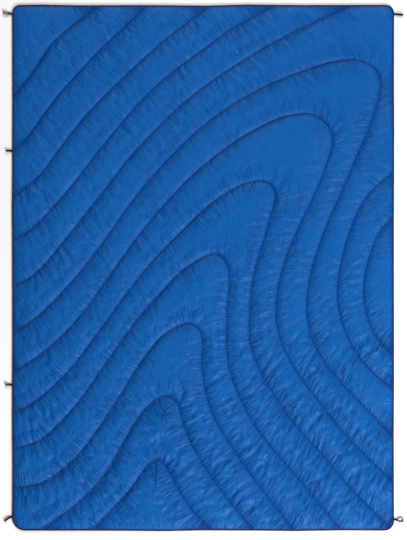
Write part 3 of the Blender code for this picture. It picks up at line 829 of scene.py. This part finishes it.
def wrap_binding():
    """The tape folded over the edge, with a slit where each loop comes out."""
    middle = (BINDING_LOW + BINDING_HIGH) / 2
    lower_leaf = [(inset, 2 * middle - z) for inset, z in reversed(BINDING_UPPER_LEAF[:-1])]
    outer = np.array([*BINDING_UPPER_LEAF, *lower_leaf])
    way = np.gradient(outer, axis=0)
    way /= np.hypot(way[:, 0], way[:, 1])[:, None]
    inner = outer + BINDING_CLOTH * 0.9 * np.c_[way[:, 1], -way[:, 0]]
    if inner[0, 1] > outer[0, 1]:
        inner = 2 * outer - inner
    section = np.vstack([outer, inner[::-1]])
    points, outward = edge_stations(BINDING_STEP)
    count, size = len(points), len(section)
    ripple = np.array([noise.noise(Vector((p[0] * 110, p[1] * 110, 2.0))) for p in points])
    sway = np.array([noise.noise(Vector((p[0] * 24, p[1] * 24, 5.0))) for p in points])
    mesh = np.empty((count, size, 3))
    for k, (inset, z) in enumerate(section):
        leaf = ease(inset, 0.0012, 0.0044)
        reach = inset + leaf * (0.00025 * sway + 0.00010 * ripple)
        mesh[:, k, :2] = points - outward * reach[:, None]
        side = 1.0 if z > middle else -1.0
        mesh[:, k, 2] = z + side * 0.00011 * leaf * np.maximum(ripple, -0.4)
    mesh[..., :2] = settle(mesh[..., :2].reshape(-1, 2)).reshape(count, size, 2)
    faces, uv = [], []
    run = run_along(np.vstack([points, points[:1]]))
    across = run_along(np.vstack([section, section[:1]]))
    for i in range(count):
        n = (i + 1) % count
        for k in range(size):
            m = (k + 1) % size
            faces.append((i * size + k, i * size + m, n * size + m, n * size + k))
            uv.append(((run[i], across[k]), (run[i], across[k + 1]),
                       (run[i + 1], across[k + 1]), (run[i + 1], across[k])))
    piece = add_piece("binding", mesh.reshape(-1, 3), faces)
    add_uv(piece, uv)
    shape = bmesh.new()
    shape.from_mesh(piece.data)
    if shape.calc_volume(signed=True) < 0:
        bmesh.ops.reverse_faces(shape, faces=shape.faces)
    shape.to_mesh(piece.data)
    shape.free()

    select_only()
    cutters = []
    for loop in LOOPS.values():
        x, y = loop_place(loop)
        bpy.ops.mesh.primitive_cube_add(size=1.0, location=(x, y, TAIL_MIDDLE))
        cutter = bpy.context.object
        cutter.scale = (SLIT_DEPTH, TAPE_WIDTH + SLIT_ROOM, 2 * TAPE + TAPE_FOLD + SLIT_ROOM)
        cutters.append(cutter)
    select_only(*cutters)
    bpy.ops.object.transform_apply(location=True, rotation=True, scale=True)
    bpy.ops.object.join()
    slits = bpy.context.object
    cut = piece.modifiers.new("slits", "BOOLEAN")
    cut.operation = "DIFFERENCE"
    cut.solver = "EXACT"
    cut.object = slits
    select_only(piece)
    bpy.ops.object.modifier_apply(modifier="slits")
    bpy.data.objects.remove(slits, do_unlink=True)
    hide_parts("binding_tape")
    return piece


# ---------------------------------------------------------------- tape loops

ON_EDGE = TAPE_WIDTH / 2 + 0.00075 - TAIL_MIDDLE
STACKED = ((0.0, 0.0030), (0.0, -0.0030))

# For each loop: its side and end of the blanket, the corner it is near, how far it stands out and
# leans, how its strands part along the edge and up, how far it rises, and how far its strands and
# its tip turn, in degrees, from lying flat
LOOP_FACTS = ("side", "end", "corner", "reach", "lean", "apart", "lift", "turns")
LOOPS = {
    name: dict(zip(LOOP_FACTS, facts))
    for name, *facts in (
        ("head_left", -1, 1, ("head", "left"), 0.031, 0.005,
         ((0.0055, 0.0), (-0.0060, 0.0)), ON_EDGE, (-75, -90)),
        ("head_right", 1, 1, ("head", "right"), 0.031, -0.002, STACKED, 0.0, (0, 0)),
        ("foot_left", -1, -1, ("foot", "left"), 0.026, -0.016, STACKED, 0.0, (0, 0)),
        ("foot_right", 1, -1, ("foot", "right"), 0.032, -0.001,
         ((0.0075, 0.0), (-0.0075, 0.0)), ON_EDGE, (-80, -90)),
        ("side_head", -1, 1, None, 0.021, 0.001, STACKED, 0.0, (0, 0)),
        ("side_foot", -1, -1, None, 0.023, 0.0,
         ((0.0042, 0.0), (-0.0042, 0.0)), ON_EDGE, (-90, -90)),
    )
}

# How the strands run out along a loop, as shares of its reach: where they start and end, turn on
# edge and part, and where the tip turns and begins
STRAND_FROM, STRAND_TO = 0.06, 0.82
TURN_FROM, TURN_TO = 0.12, 0.50
OPEN_FROM, OPEN_TO = 0.16, 0.58
TIP_TURN_FROM, TIP_TURN_TO = 0.55, 0.95
TIP_FROM = 0.88
LEAN_POWER = 1.6
STRAND_STEPS = 26
TIP_STEPS = 16


def loop_place(loop):
    """Where a loop's tape crosses the outer edge."""
    y = SIDE_LOOP_FROM_MIDDLE
    if loop["corner"]:
        y = LENGTH / 2 - CORNER_RADIUS[loop["corner"]] - LOOP_FROM_ARC
    return loop["side"] * WIDTH / 2, loop["end"] * y


def tape_path(loop):
    """The middle of a loop's tape from one sewn-in end to the other, and its width's direction."""
    side, reach, lean = loop["side"], loop["reach"], loop["lean"]
    turn, tip_turn = (math.radians(angle) for angle in loop["turns"])
    fold = (TAPE + TAPE_FOLD) / 2

    def middle(share):
        return Vector((side * reach * share, lean * share**LEAN_POWER, 0.0))

    def turned(share):
        bend = turn * float(ease(share, TURN_FROM, TURN_TO))
        return bend + (tip_turn - turn) * float(ease(share, TIP_TURN_FROM, TIP_TURN_TO))

    def across(share):
        run = Vector((side * reach, LEAN_POWER * lean * share ** (LEAN_POWER - 1.0), 0.0))
        level = Vector((-run.y * side, run.x * side, 0.0)).normalized()
        bend = turned(share)
        return level * math.cos(bend) + Vector((0.0, 0.0, math.sin(bend)))

    def strand_point(share, apart, sign):
        bend, opened = turned(share), float(ease(share, OPEN_FROM, OPEN_TO))
        stacked = Vector((0.0, -math.sin(bend), math.cos(bend))) * sign * fold
        parted = Vector((0.0, apart[0], apart[1]))
        lift = Vector((0.0, 0.0, loop["lift"] * float(ease(share, TURN_FROM, TURN_TO))))
        return middle(share) + stacked.lerp(parted, opened) + lift

    def strand(apart, sign):
        for i in range(STRAND_STEPS):
            share = STRAND_FROM + (STRAND_TO - STRAND_FROM) * i / (STRAND_STEPS - 1)
            yield strand_point(share, apart, sign), across(share)

    def sewn_end(sign):
        for i in range(TAIL_STEPS):
            inside = (TAIL_REACH + FLEX_GAP) * (1.0 - i / TAIL_STEPS)
            yield Vector((-side * inside, 0.0, sign * fold)), Vector((0.0, 1.0, 0.0))

    upper, lower = loop["apart"]
    ends = [*sewn_end(1), *strand(upper, 1)]
    high, low = strand_point(TIP_FROM, upper, 1), strand_point(TIP_FROM, lower, -1)
    onward = middle(1.0) - middle(TIP_FROM)
    centre = (high + low) / 2
    for i in range(TIP_STEPS + 1):
        angle = math.pi * i / TIP_STEPS
        point = centre + (high - centre) * math.cos(angle) + onward * math.sin(angle)
        ends.append((point, across(TIP_TURN_TO)))
    ends += reversed([*sewn_end(-1), *strand(lower, -1)])
    return ends


def make_loop(name, loop):
    """One length of woven tape, sewn in by both ends."""
    x, y = loop_place(loop)
    flex = Vector((x + loop["side"] * FLEX_GAP, y, TAIL_MIDDLE))
    path = tape_path(loop)
    half, thick = TAPE_WIDTH / 2, TAPE / 2
    top = ((1.0, 0.35), (0.93, 1.0), (0.45, 1.0), (-0.45, 1.0), (-0.93, 1.0), (-1.0, 0.35))
    section = top + tuple((-a, -b) for a, b in top)
    rings = []
    for i, (p, width) in enumerate(path):
        along = (path[min(i + 1, len(path) - 1)][0] - path[max(i - 1, 0)][0]).normalized()
        up = along.cross(width).normalized()
        rings.append([flex + p + width * half * a + up * thick * b for a, b in section])
    size = len(section)
    points = [p for ring in rings for p in ring]
    faces, uv = [], []
    run = [0.0]
    for (a, _), (b, _) in zip(path, path[1:]):
        run.append(run[-1] + (b - a).length)
    for i in range(len(rings) - 1):
        for k in range(size):
            m = (k + 1) % size
            faces.append((i * size + k, i * size + m, (i + 1) * size + m, (i + 1) * size + k))
            va, vb = half * section[k][0], half * section[m][0]
            uv.append(((run[i], va), (run[i], vb), (run[i + 1], vb), (run[i + 1], va)))
    piece = add_piece(f"tape_loop_{name}", points, faces)
    add_uv(piece, uv)
    shape = bmesh.new()
    shape.from_mesh(piece.data)
    bmesh.ops.holes_fill(shape, edges=[e for e in shape.edges if e.is_boundary], sides=0)
    put_back(shape, piece)
    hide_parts(f"loop_{name}", f"loop_tail_{name}")
    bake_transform(piece)
    return piece


def make_bartack(name, loop):
    """A dense zigzag of thread across a loop's sewn-in ends."""
    x, y = loop_place(loop)
    curve = bpy.data.curves.new(f"bartack_{name}", "CURVE")
    curve.dimensions = "3D"
    count = TACK_PASSES * 4
    spline = curve.splines.new("POLY")
    spline.points.add(count - 1)
    reach = TAPE_WIDTH + 0.0010
    shuffle = np.random.default_rng(40 + len(name))
    for i in range(count):
        share = i / (count - 1)
        swing = 1 - 2 * abs(((i / 4) % 2) - 1)
        px = x - loop["side"] * (0.0015 + 0.00062 * swing)
        pz = BINDING_HIGH + 0.00012 + 0.00016 * (1 - swing * swing) + shuffle.uniform(0, 0.00004)
        spline.points[i].co = (px, y - reach / 2 + reach * share, pz, 1.0)
    curve.bevel_depth = TACK_RADIUS
    curve.bevel_resolution = 0
    curve.use_fill_caps = True
    tack = bpy.data.objects.new(f"bartack_stitches_{name}", curve)
    bpy.context.scene.collection.objects.link(tack)
    select_only(tack)
    bpy.ops.object.convert(target="MESH")
    tack = bpy.context.object
    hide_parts(f"bartack_{name}")
    return tack


# ---------------------------------------------------------------- finishes

# Colours: the cloths' plain, deep and light tones, the threads' dark and light plies, the tapes'
# dark ribs, light ribs and rubbed patches, and the filling's shaded, white and yellowed fibre
FACE_BLUE = ((0.0025, 0.098, 0.365, 1), (0.0015, 0.088, 0.340, 1), (0.0050, 0.114, 0.398, 1))
BACK_BLUE = ((0.0030, 0.050, 0.205, 1), (0.0020, 0.042, 0.180, 1), (0.0050, 0.062, 0.245, 1))
NAVY = ((0.002, 0.012, 0.090, 1), (0.006, 0.032, 0.170, 1))
BLACK = ((0.012, 0.006, 0.010, 1), (0.045, 0.022, 0.032, 1))
WINE = ((0.030, 0.008, 0.024, 1), (0.062, 0.018, 0.044, 1), (0.090, 0.032, 0.058, 1))
SOOT = ((0.005, 0.002, 0.003, 1), (0.018, 0.009, 0.011, 1), (0.036, 0.024, 0.025, 1))
FIBRE = ((0.62, 0.62, 0.60, 1), (0.84, 0.84, 0.82, 1), (0.74, 0.73, 0.70, 1))
WEAVE = 640.0
RIPSTOP = 57.0
BINDING_RIBS = 300.0
LOOP_RIBS = 330.0


class Finish:
    """A material being put together node by node."""

    def __init__(self, name, coordinates="Object"):
        self.material = bpy.data.materials.new(name)
        self.material.use_nodes = True
        self.tree = self.material.node_tree
        self.shader = self.tree.nodes["Principled BSDF"]
        self.place = self.tree.nodes.new("ShaderNodeTexCoord").outputs[coordinates]

    def node(self, kind, inputs=(), **settings):
        """A node of a kind, with its sockets set to values or linked to other nodes' outputs."""
        made = self.tree.nodes.new("ShaderNode" + kind)
        for key, value in settings.items():
            setattr(made, key, value)
        for socket, value in dict(inputs).items():
            if hasattr(value, "is_output"):
                self.tree.links.new(value, made.inputs[socket])
            else:
                made.inputs[socket].default_value = value
        return made

    def mapped(self, scale, turn=0.0, source=None):
        """The place on the piece, stretched and turned."""
        return self.node(
            "Mapping",
            {"Vector": source or self.place, "Scale": scale, "Rotation": (0.0, 0.0, turn)},
        ).outputs["Vector"]

    def noise(self, scale, detail=2.0, vector=None, roughness=0.5):
        """Soft random patches."""
        return self.node("TexNoise", {
            "Vector": vector or self.place, "Scale": scale, "Detail": detail,
            "Roughness": roughness,
        }).outputs["Fac"]

    def wave(self, scale, direction):
        """Even ribs across a direction."""
        return self.node(
            "TexWave", {"Vector": self.place, "Scale": scale},
            wave_type="BANDS", bands_direction=direction, wave_profile="SIN",
        ).outputs["Fac"]

    def math(self, operation, a, b=0.0, clamp=False):
        """One sum on two values."""
        return self.node("Math", {0: a, 1: b}, operation=operation, use_clamp=clamp).outputs[0]

    def span(self, value, low, high, to_low, to_high, slope="LINEAR"):
        """A value carried from one range to another."""
        return self.node("MapRange", {
            "Value": value, "From Min": low, "From Max": high, "To Min": to_low,
            "To Max": to_high,
        }, interpolation_type=slope).outputs["Result"]

    def mix(self, share, a, b):
        """Two colours blended by a share."""
        return self.node("Mix", {0: share, 6: a, 7: b}, data_type="RGBA").outputs[2]

    def attribute(self, name, output):
        """What the piece's mesh carries under a name."""
        made = self.node("Attribute", attribute_name=name, attribute_type="GEOMETRY")
        return made.outputs[output]

    def valleys(self, field, narrow):
        """Narrow valleys, 1 deep, along the lines where a noise field crosses its middle."""
        off = self.math("ABSOLUTE", self.math("SUBTRACT", field, 0.5))
        return self.span(off, 0.0, narrow, -1.0, 0.0, "SMOOTHSTEP")

    def link(self, value, socket):
        """Feeds a socket of the material's shader."""
        self.tree.links.new(value, self.shader.inputs[socket])

    def bump(self, height, strength, distance, normal=None):
        """Relief from a height, laid over what the normal already shows."""
        sockets = {"Height": height, "Strength": strength, "Distance": distance}
        if normal is not None:
            sockets["Normal"] = normal
        return self.node("Bump", sockets).outputs["Normal"]


def shell_finish(name, colours, creased):
    """Thin, closely woven cloth with a low sheen, a faint ripstop grid and a crumpled surface,
    with painted shade darkening it along the seams. Creased cloth also has fine creases drawn to
    its seams, with painted shade in their valleys."""
    cloth = Finish(name)
    plain, deep, light = colours
    # The colour of the painted shade along the seams and in the crease valleys
    shadow = (deep[0] * 0.2, deep[1] * 0.38, deep[2] * 0.54, 1.0)
    weave = cloth.math("MULTIPLY", cloth.wave(WEAVE, "X"), cloth.wave(WEAVE, "Y"))
    grid_x, grid_y = (
        cloth.span(cloth.wave(RIPSTOP, way), 0.93, 1.0, 0.0, 1.0) for way in ("X", "Y")
    )
    grid = cloth.math("MAXIMUM", grid_x, grid_y, clamp=True)
    broad = cloth.noise(2.2, 3.0)
    fine = cloth.noise(38.0, 4.0)
    tone = cloth.mix(cloth.span(broad, 0.35, 0.65, 0.0, 1.0), deep, plain)
    tone = cloth.mix(cloth.span(fine, 0.3, 0.7, 0.0, 0.35), tone, light)
    tone = cloth.mix(cloth.math("MULTIPLY", grid, 0.08), tone, light)
    # Painted shade: near the seams, where the channels dip, the cloth is darkened towards the
    # shadow colour
    seam_painted_shade = cloth.span(cloth.attribute("swell", "Fac"), 0.10, 0.64, 1.0, 0.0)
    tone = cloth.mix(cloth.math("MULTIPLY", seam_painted_shade, 0.92), tone, shadow)
    crumple = cloth.valleys(cloth.noise(24.0, 3.0, cloth.mapped((1.0, 0.6, 1.0), 0.6)), 0.050)
    normal = cloth.bump(crumple, 1.0, 0.0008)
    rumple = cloth.noise(70.0, 2.0, cloth.mapped((1.0, 0.5, 1.0), -0.5))
    normal = cloth.bump(rumple, 1.0, 0.0015, normal)
    if creased:
        grain = cloth.mapped((82.0, 10.0, 40.0), 0.0, cloth.attribute("grain", "Vector"))
        drawn = cloth.valleys(cloth.noise(1.0, 2.0, grain), 0.10)
        drawn = cloth.math("MULTIPLY", drawn, cloth.attribute("creased", "Fac"))
        normal = cloth.bump(drawn, 1.0, 0.0022, normal)
        # Painted shade: the valleys of the fine creases are darkened towards the shadow colour
        tone = cloth.mix(cloth.span(drawn, -0.9, -0.2, 0.34, 0.0), tone, shadow)
    cloth.link(tone, "Base Color")
    cloth.link(cloth.span(cloth.noise(14.0, 3.0), 0.3, 0.7, 0.42, 0.52), "Roughness")
    normal = cloth.bump(weave, 0.25, 0.00006, normal)
    normal = cloth.bump(grid, 0.2, 0.00008, normal)
    cloth.link(normal, "Normal")
    cloth.shader.inputs["Specular IOR Level"].default_value = 0.12
    return cloth.material


def thread_finish(name, colours):
    """Twisted polyester thread: fine slanting plies with a soft shine."""
    thread = Finish(name)
    dark, light = colours
    ply = thread.wave(900.0, "DIAGONAL")
    tone = thread.mix(thread.span(ply, 0.2, 0.8, 0.0, 1.0), dark, light)
    tone = thread.mix(thread.span(thread.noise(60.0), 0.4, 0.7, 0.0, 0.4), tone, dark)
    thread.link(tone, "Base Color")
    thread.link(thread.span(thread.noise(200.0), 0.3, 0.7, 0.38, 0.55), "Roughness")
    thread.link(thread.bump(ply, 0.5, 0.00005), "Normal")
    thread.shader.inputs["Specular IOR Level"].default_value = 0.15
    return thread.material


def tape_finish(name, colours, ribs):
    """Narrow woven tape: fine ribs across it, a herringbone along it and worn patches."""
    tape = Finish(name, "UV")
    dark, light, rubbed = colours
    weave = tape.math("MULTIPLY", tape.wave(ribs, "X"), tape.wave(ribs * 0.8, "DIAGONAL"))
    tone = tape.mix(tape.span(weave, 0.0, 0.9, 0.0, 1.0), dark, light)
    worn = tape.span(tape.noise(90.0, 4.0), 0.52, 0.75, 0.0, 0.6)
    tone = tape.mix(worn, tone, rubbed)
    tape.link(tone, "Base Color")
    tape.link(tape.span(tape.noise(220.0), 0.3, 0.7, 0.55, 0.78), "Roughness")
    tape.link(tape.bump(weave, 0.6, 0.00010), "Normal")
    tape.shader.inputs["Specular IOR Level"].default_value = 0.15
    return tape.material


def filling_finish():
    """Lofted white fibre."""
    fibre = Finish("lofted_fibre")
    shaded, white, yellowed = FIBRE
    strands = fibre.noise(260.0, 6.0, fibre.mapped((1.0, 0.3, 1.0), 0.4), 0.7)
    clumps = fibre.noise(45.0, 3.0)
    tone = fibre.mix(fibre.span(strands, 0.3, 0.7, 0.0, 1.0), shaded, white)
    tone = fibre.mix(fibre.span(clumps, 0.4, 0.7, 0.0, 0.4), tone, yellowed)
    fibre.link(tone, "Base Color")
    fibre.link(fibre.span(strands, 0.3, 0.7, 0.85, 1.0), "Roughness")
    fibre.link(fibre.bump(strands, 0.6, 0.0006), "Normal")
    return fibre.material


# ---------------------------------------------------------------- studio

WORLD_LIGHT = 0.24
LIGHTS = (  # place, size and power
    ("foot_softbox", (2.1, -3.7, 3.2), (3.0, 2.0), 310.0),
    ("head_softbox", (0.6, 3.9, 2.8), (3.0, 2.0), 125.0),
)
FLOOR_LEVEL = -0.0002
FRAME_HEIGHT = 1.949  # how much of the floor the camera takes in, from head to foot
FRAME_LEVEL = 0.010
FRAME_MIDDLE = (0.0013, -0.0081)
LENS, SENSOR = 100.0, 36.0


def studio():
    """A pale floor, soft light from both ends and the camera straight overhead."""
    bpy.ops.mesh.primitive_plane_add(size=14.0, location=(0.0, 0.0, FLOOR_LEVEL))
    floor = bpy.context.object
    floor.name = "floor"
    paper = bpy.data.materials.new("floor_paper")
    paper.use_nodes = True
    shader = paper.node_tree.nodes["Principled BSDF"]
    shader.inputs["Base Color"].default_value = (0.92, 0.92, 0.92, 1.0)
    shader.inputs["Roughness"].default_value = 0.9
    shader.inputs["Specular IOR Level"].default_value = 0.1
    floor.data.materials.append(paper)

    world = bpy.data.worlds.new("studio")
    world.use_nodes = True
    sky = world.node_tree.nodes["Background"]
    sky.inputs["Color"].default_value = (1.0, 1.0, 1.0, 1.0)
    sky.inputs["Strength"].default_value = WORLD_LIGHT
    bpy.context.scene.world = world
    for name, spot, size, power in LIGHTS:
        lamp = bpy.data.lights.new(name, "AREA")
        lamp.shape = "RECTANGLE"
        lamp.size, lamp.size_y = size
        lamp.energy = power
        light = bpy.data.objects.new(name, lamp)
        light.location = spot
        light.rotation_euler = (-Vector(spot)).to_track_quat("-Z", "Y").to_euler()
        bpy.context.scene.collection.objects.link(light)

    view = bpy.data.cameras.new("overhead")
    view.lens = LENS
    view.sensor_width = SENSOR
    camera = bpy.data.objects.new("overhead", view)
    camera.location = (*FRAME_MIDDLE, FRAME_HEIGHT * LENS / SENSOR + FRAME_LEVEL)
    bpy.context.scene.collection.objects.link(camera)
    bpy.context.scene.camera = camera
    bpy.context.scene.view_settings.view_transform = "Standard"


# ---------------------------------------------------------------- assembly

shell, under, batt = sew_quilt()
stitches = sew_seams()
binding = wrap_binding()
loops = [make_loop(name, loop) for name, loop in LOOPS.items()]
tacks = [make_bartack(name, loop) for name, loop in LOOPS.items()]

shell.data.materials.append(shell_finish("face_cloth", FACE_BLUE, True))
under.data.materials.append(shell_finish("back_cloth", BACK_BLUE, False))
batt.data.materials.append(filling_finish())
navy = thread_finish("quilt_thread", NAVY)
black = thread_finish("binding_thread", BLACK)
wine = tape_finish("binding_tape", WINE, BINDING_RIBS)
soot = tape_finish("loop_tape", SOOT, LOOP_RIBS)
for piece in stitches:
    piece.data.materials.append(black if piece.name.startswith("binding") else navy)
for piece in tacks:
    piece.data.materials.append(black)
for piece in loops:
    piece.data.materials.append(soot)
binding.data.materials.append(wine)

for piece in [shell, under, batt, binding, *stitches, *tacks]:
    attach(piece, "blanket")

studio()
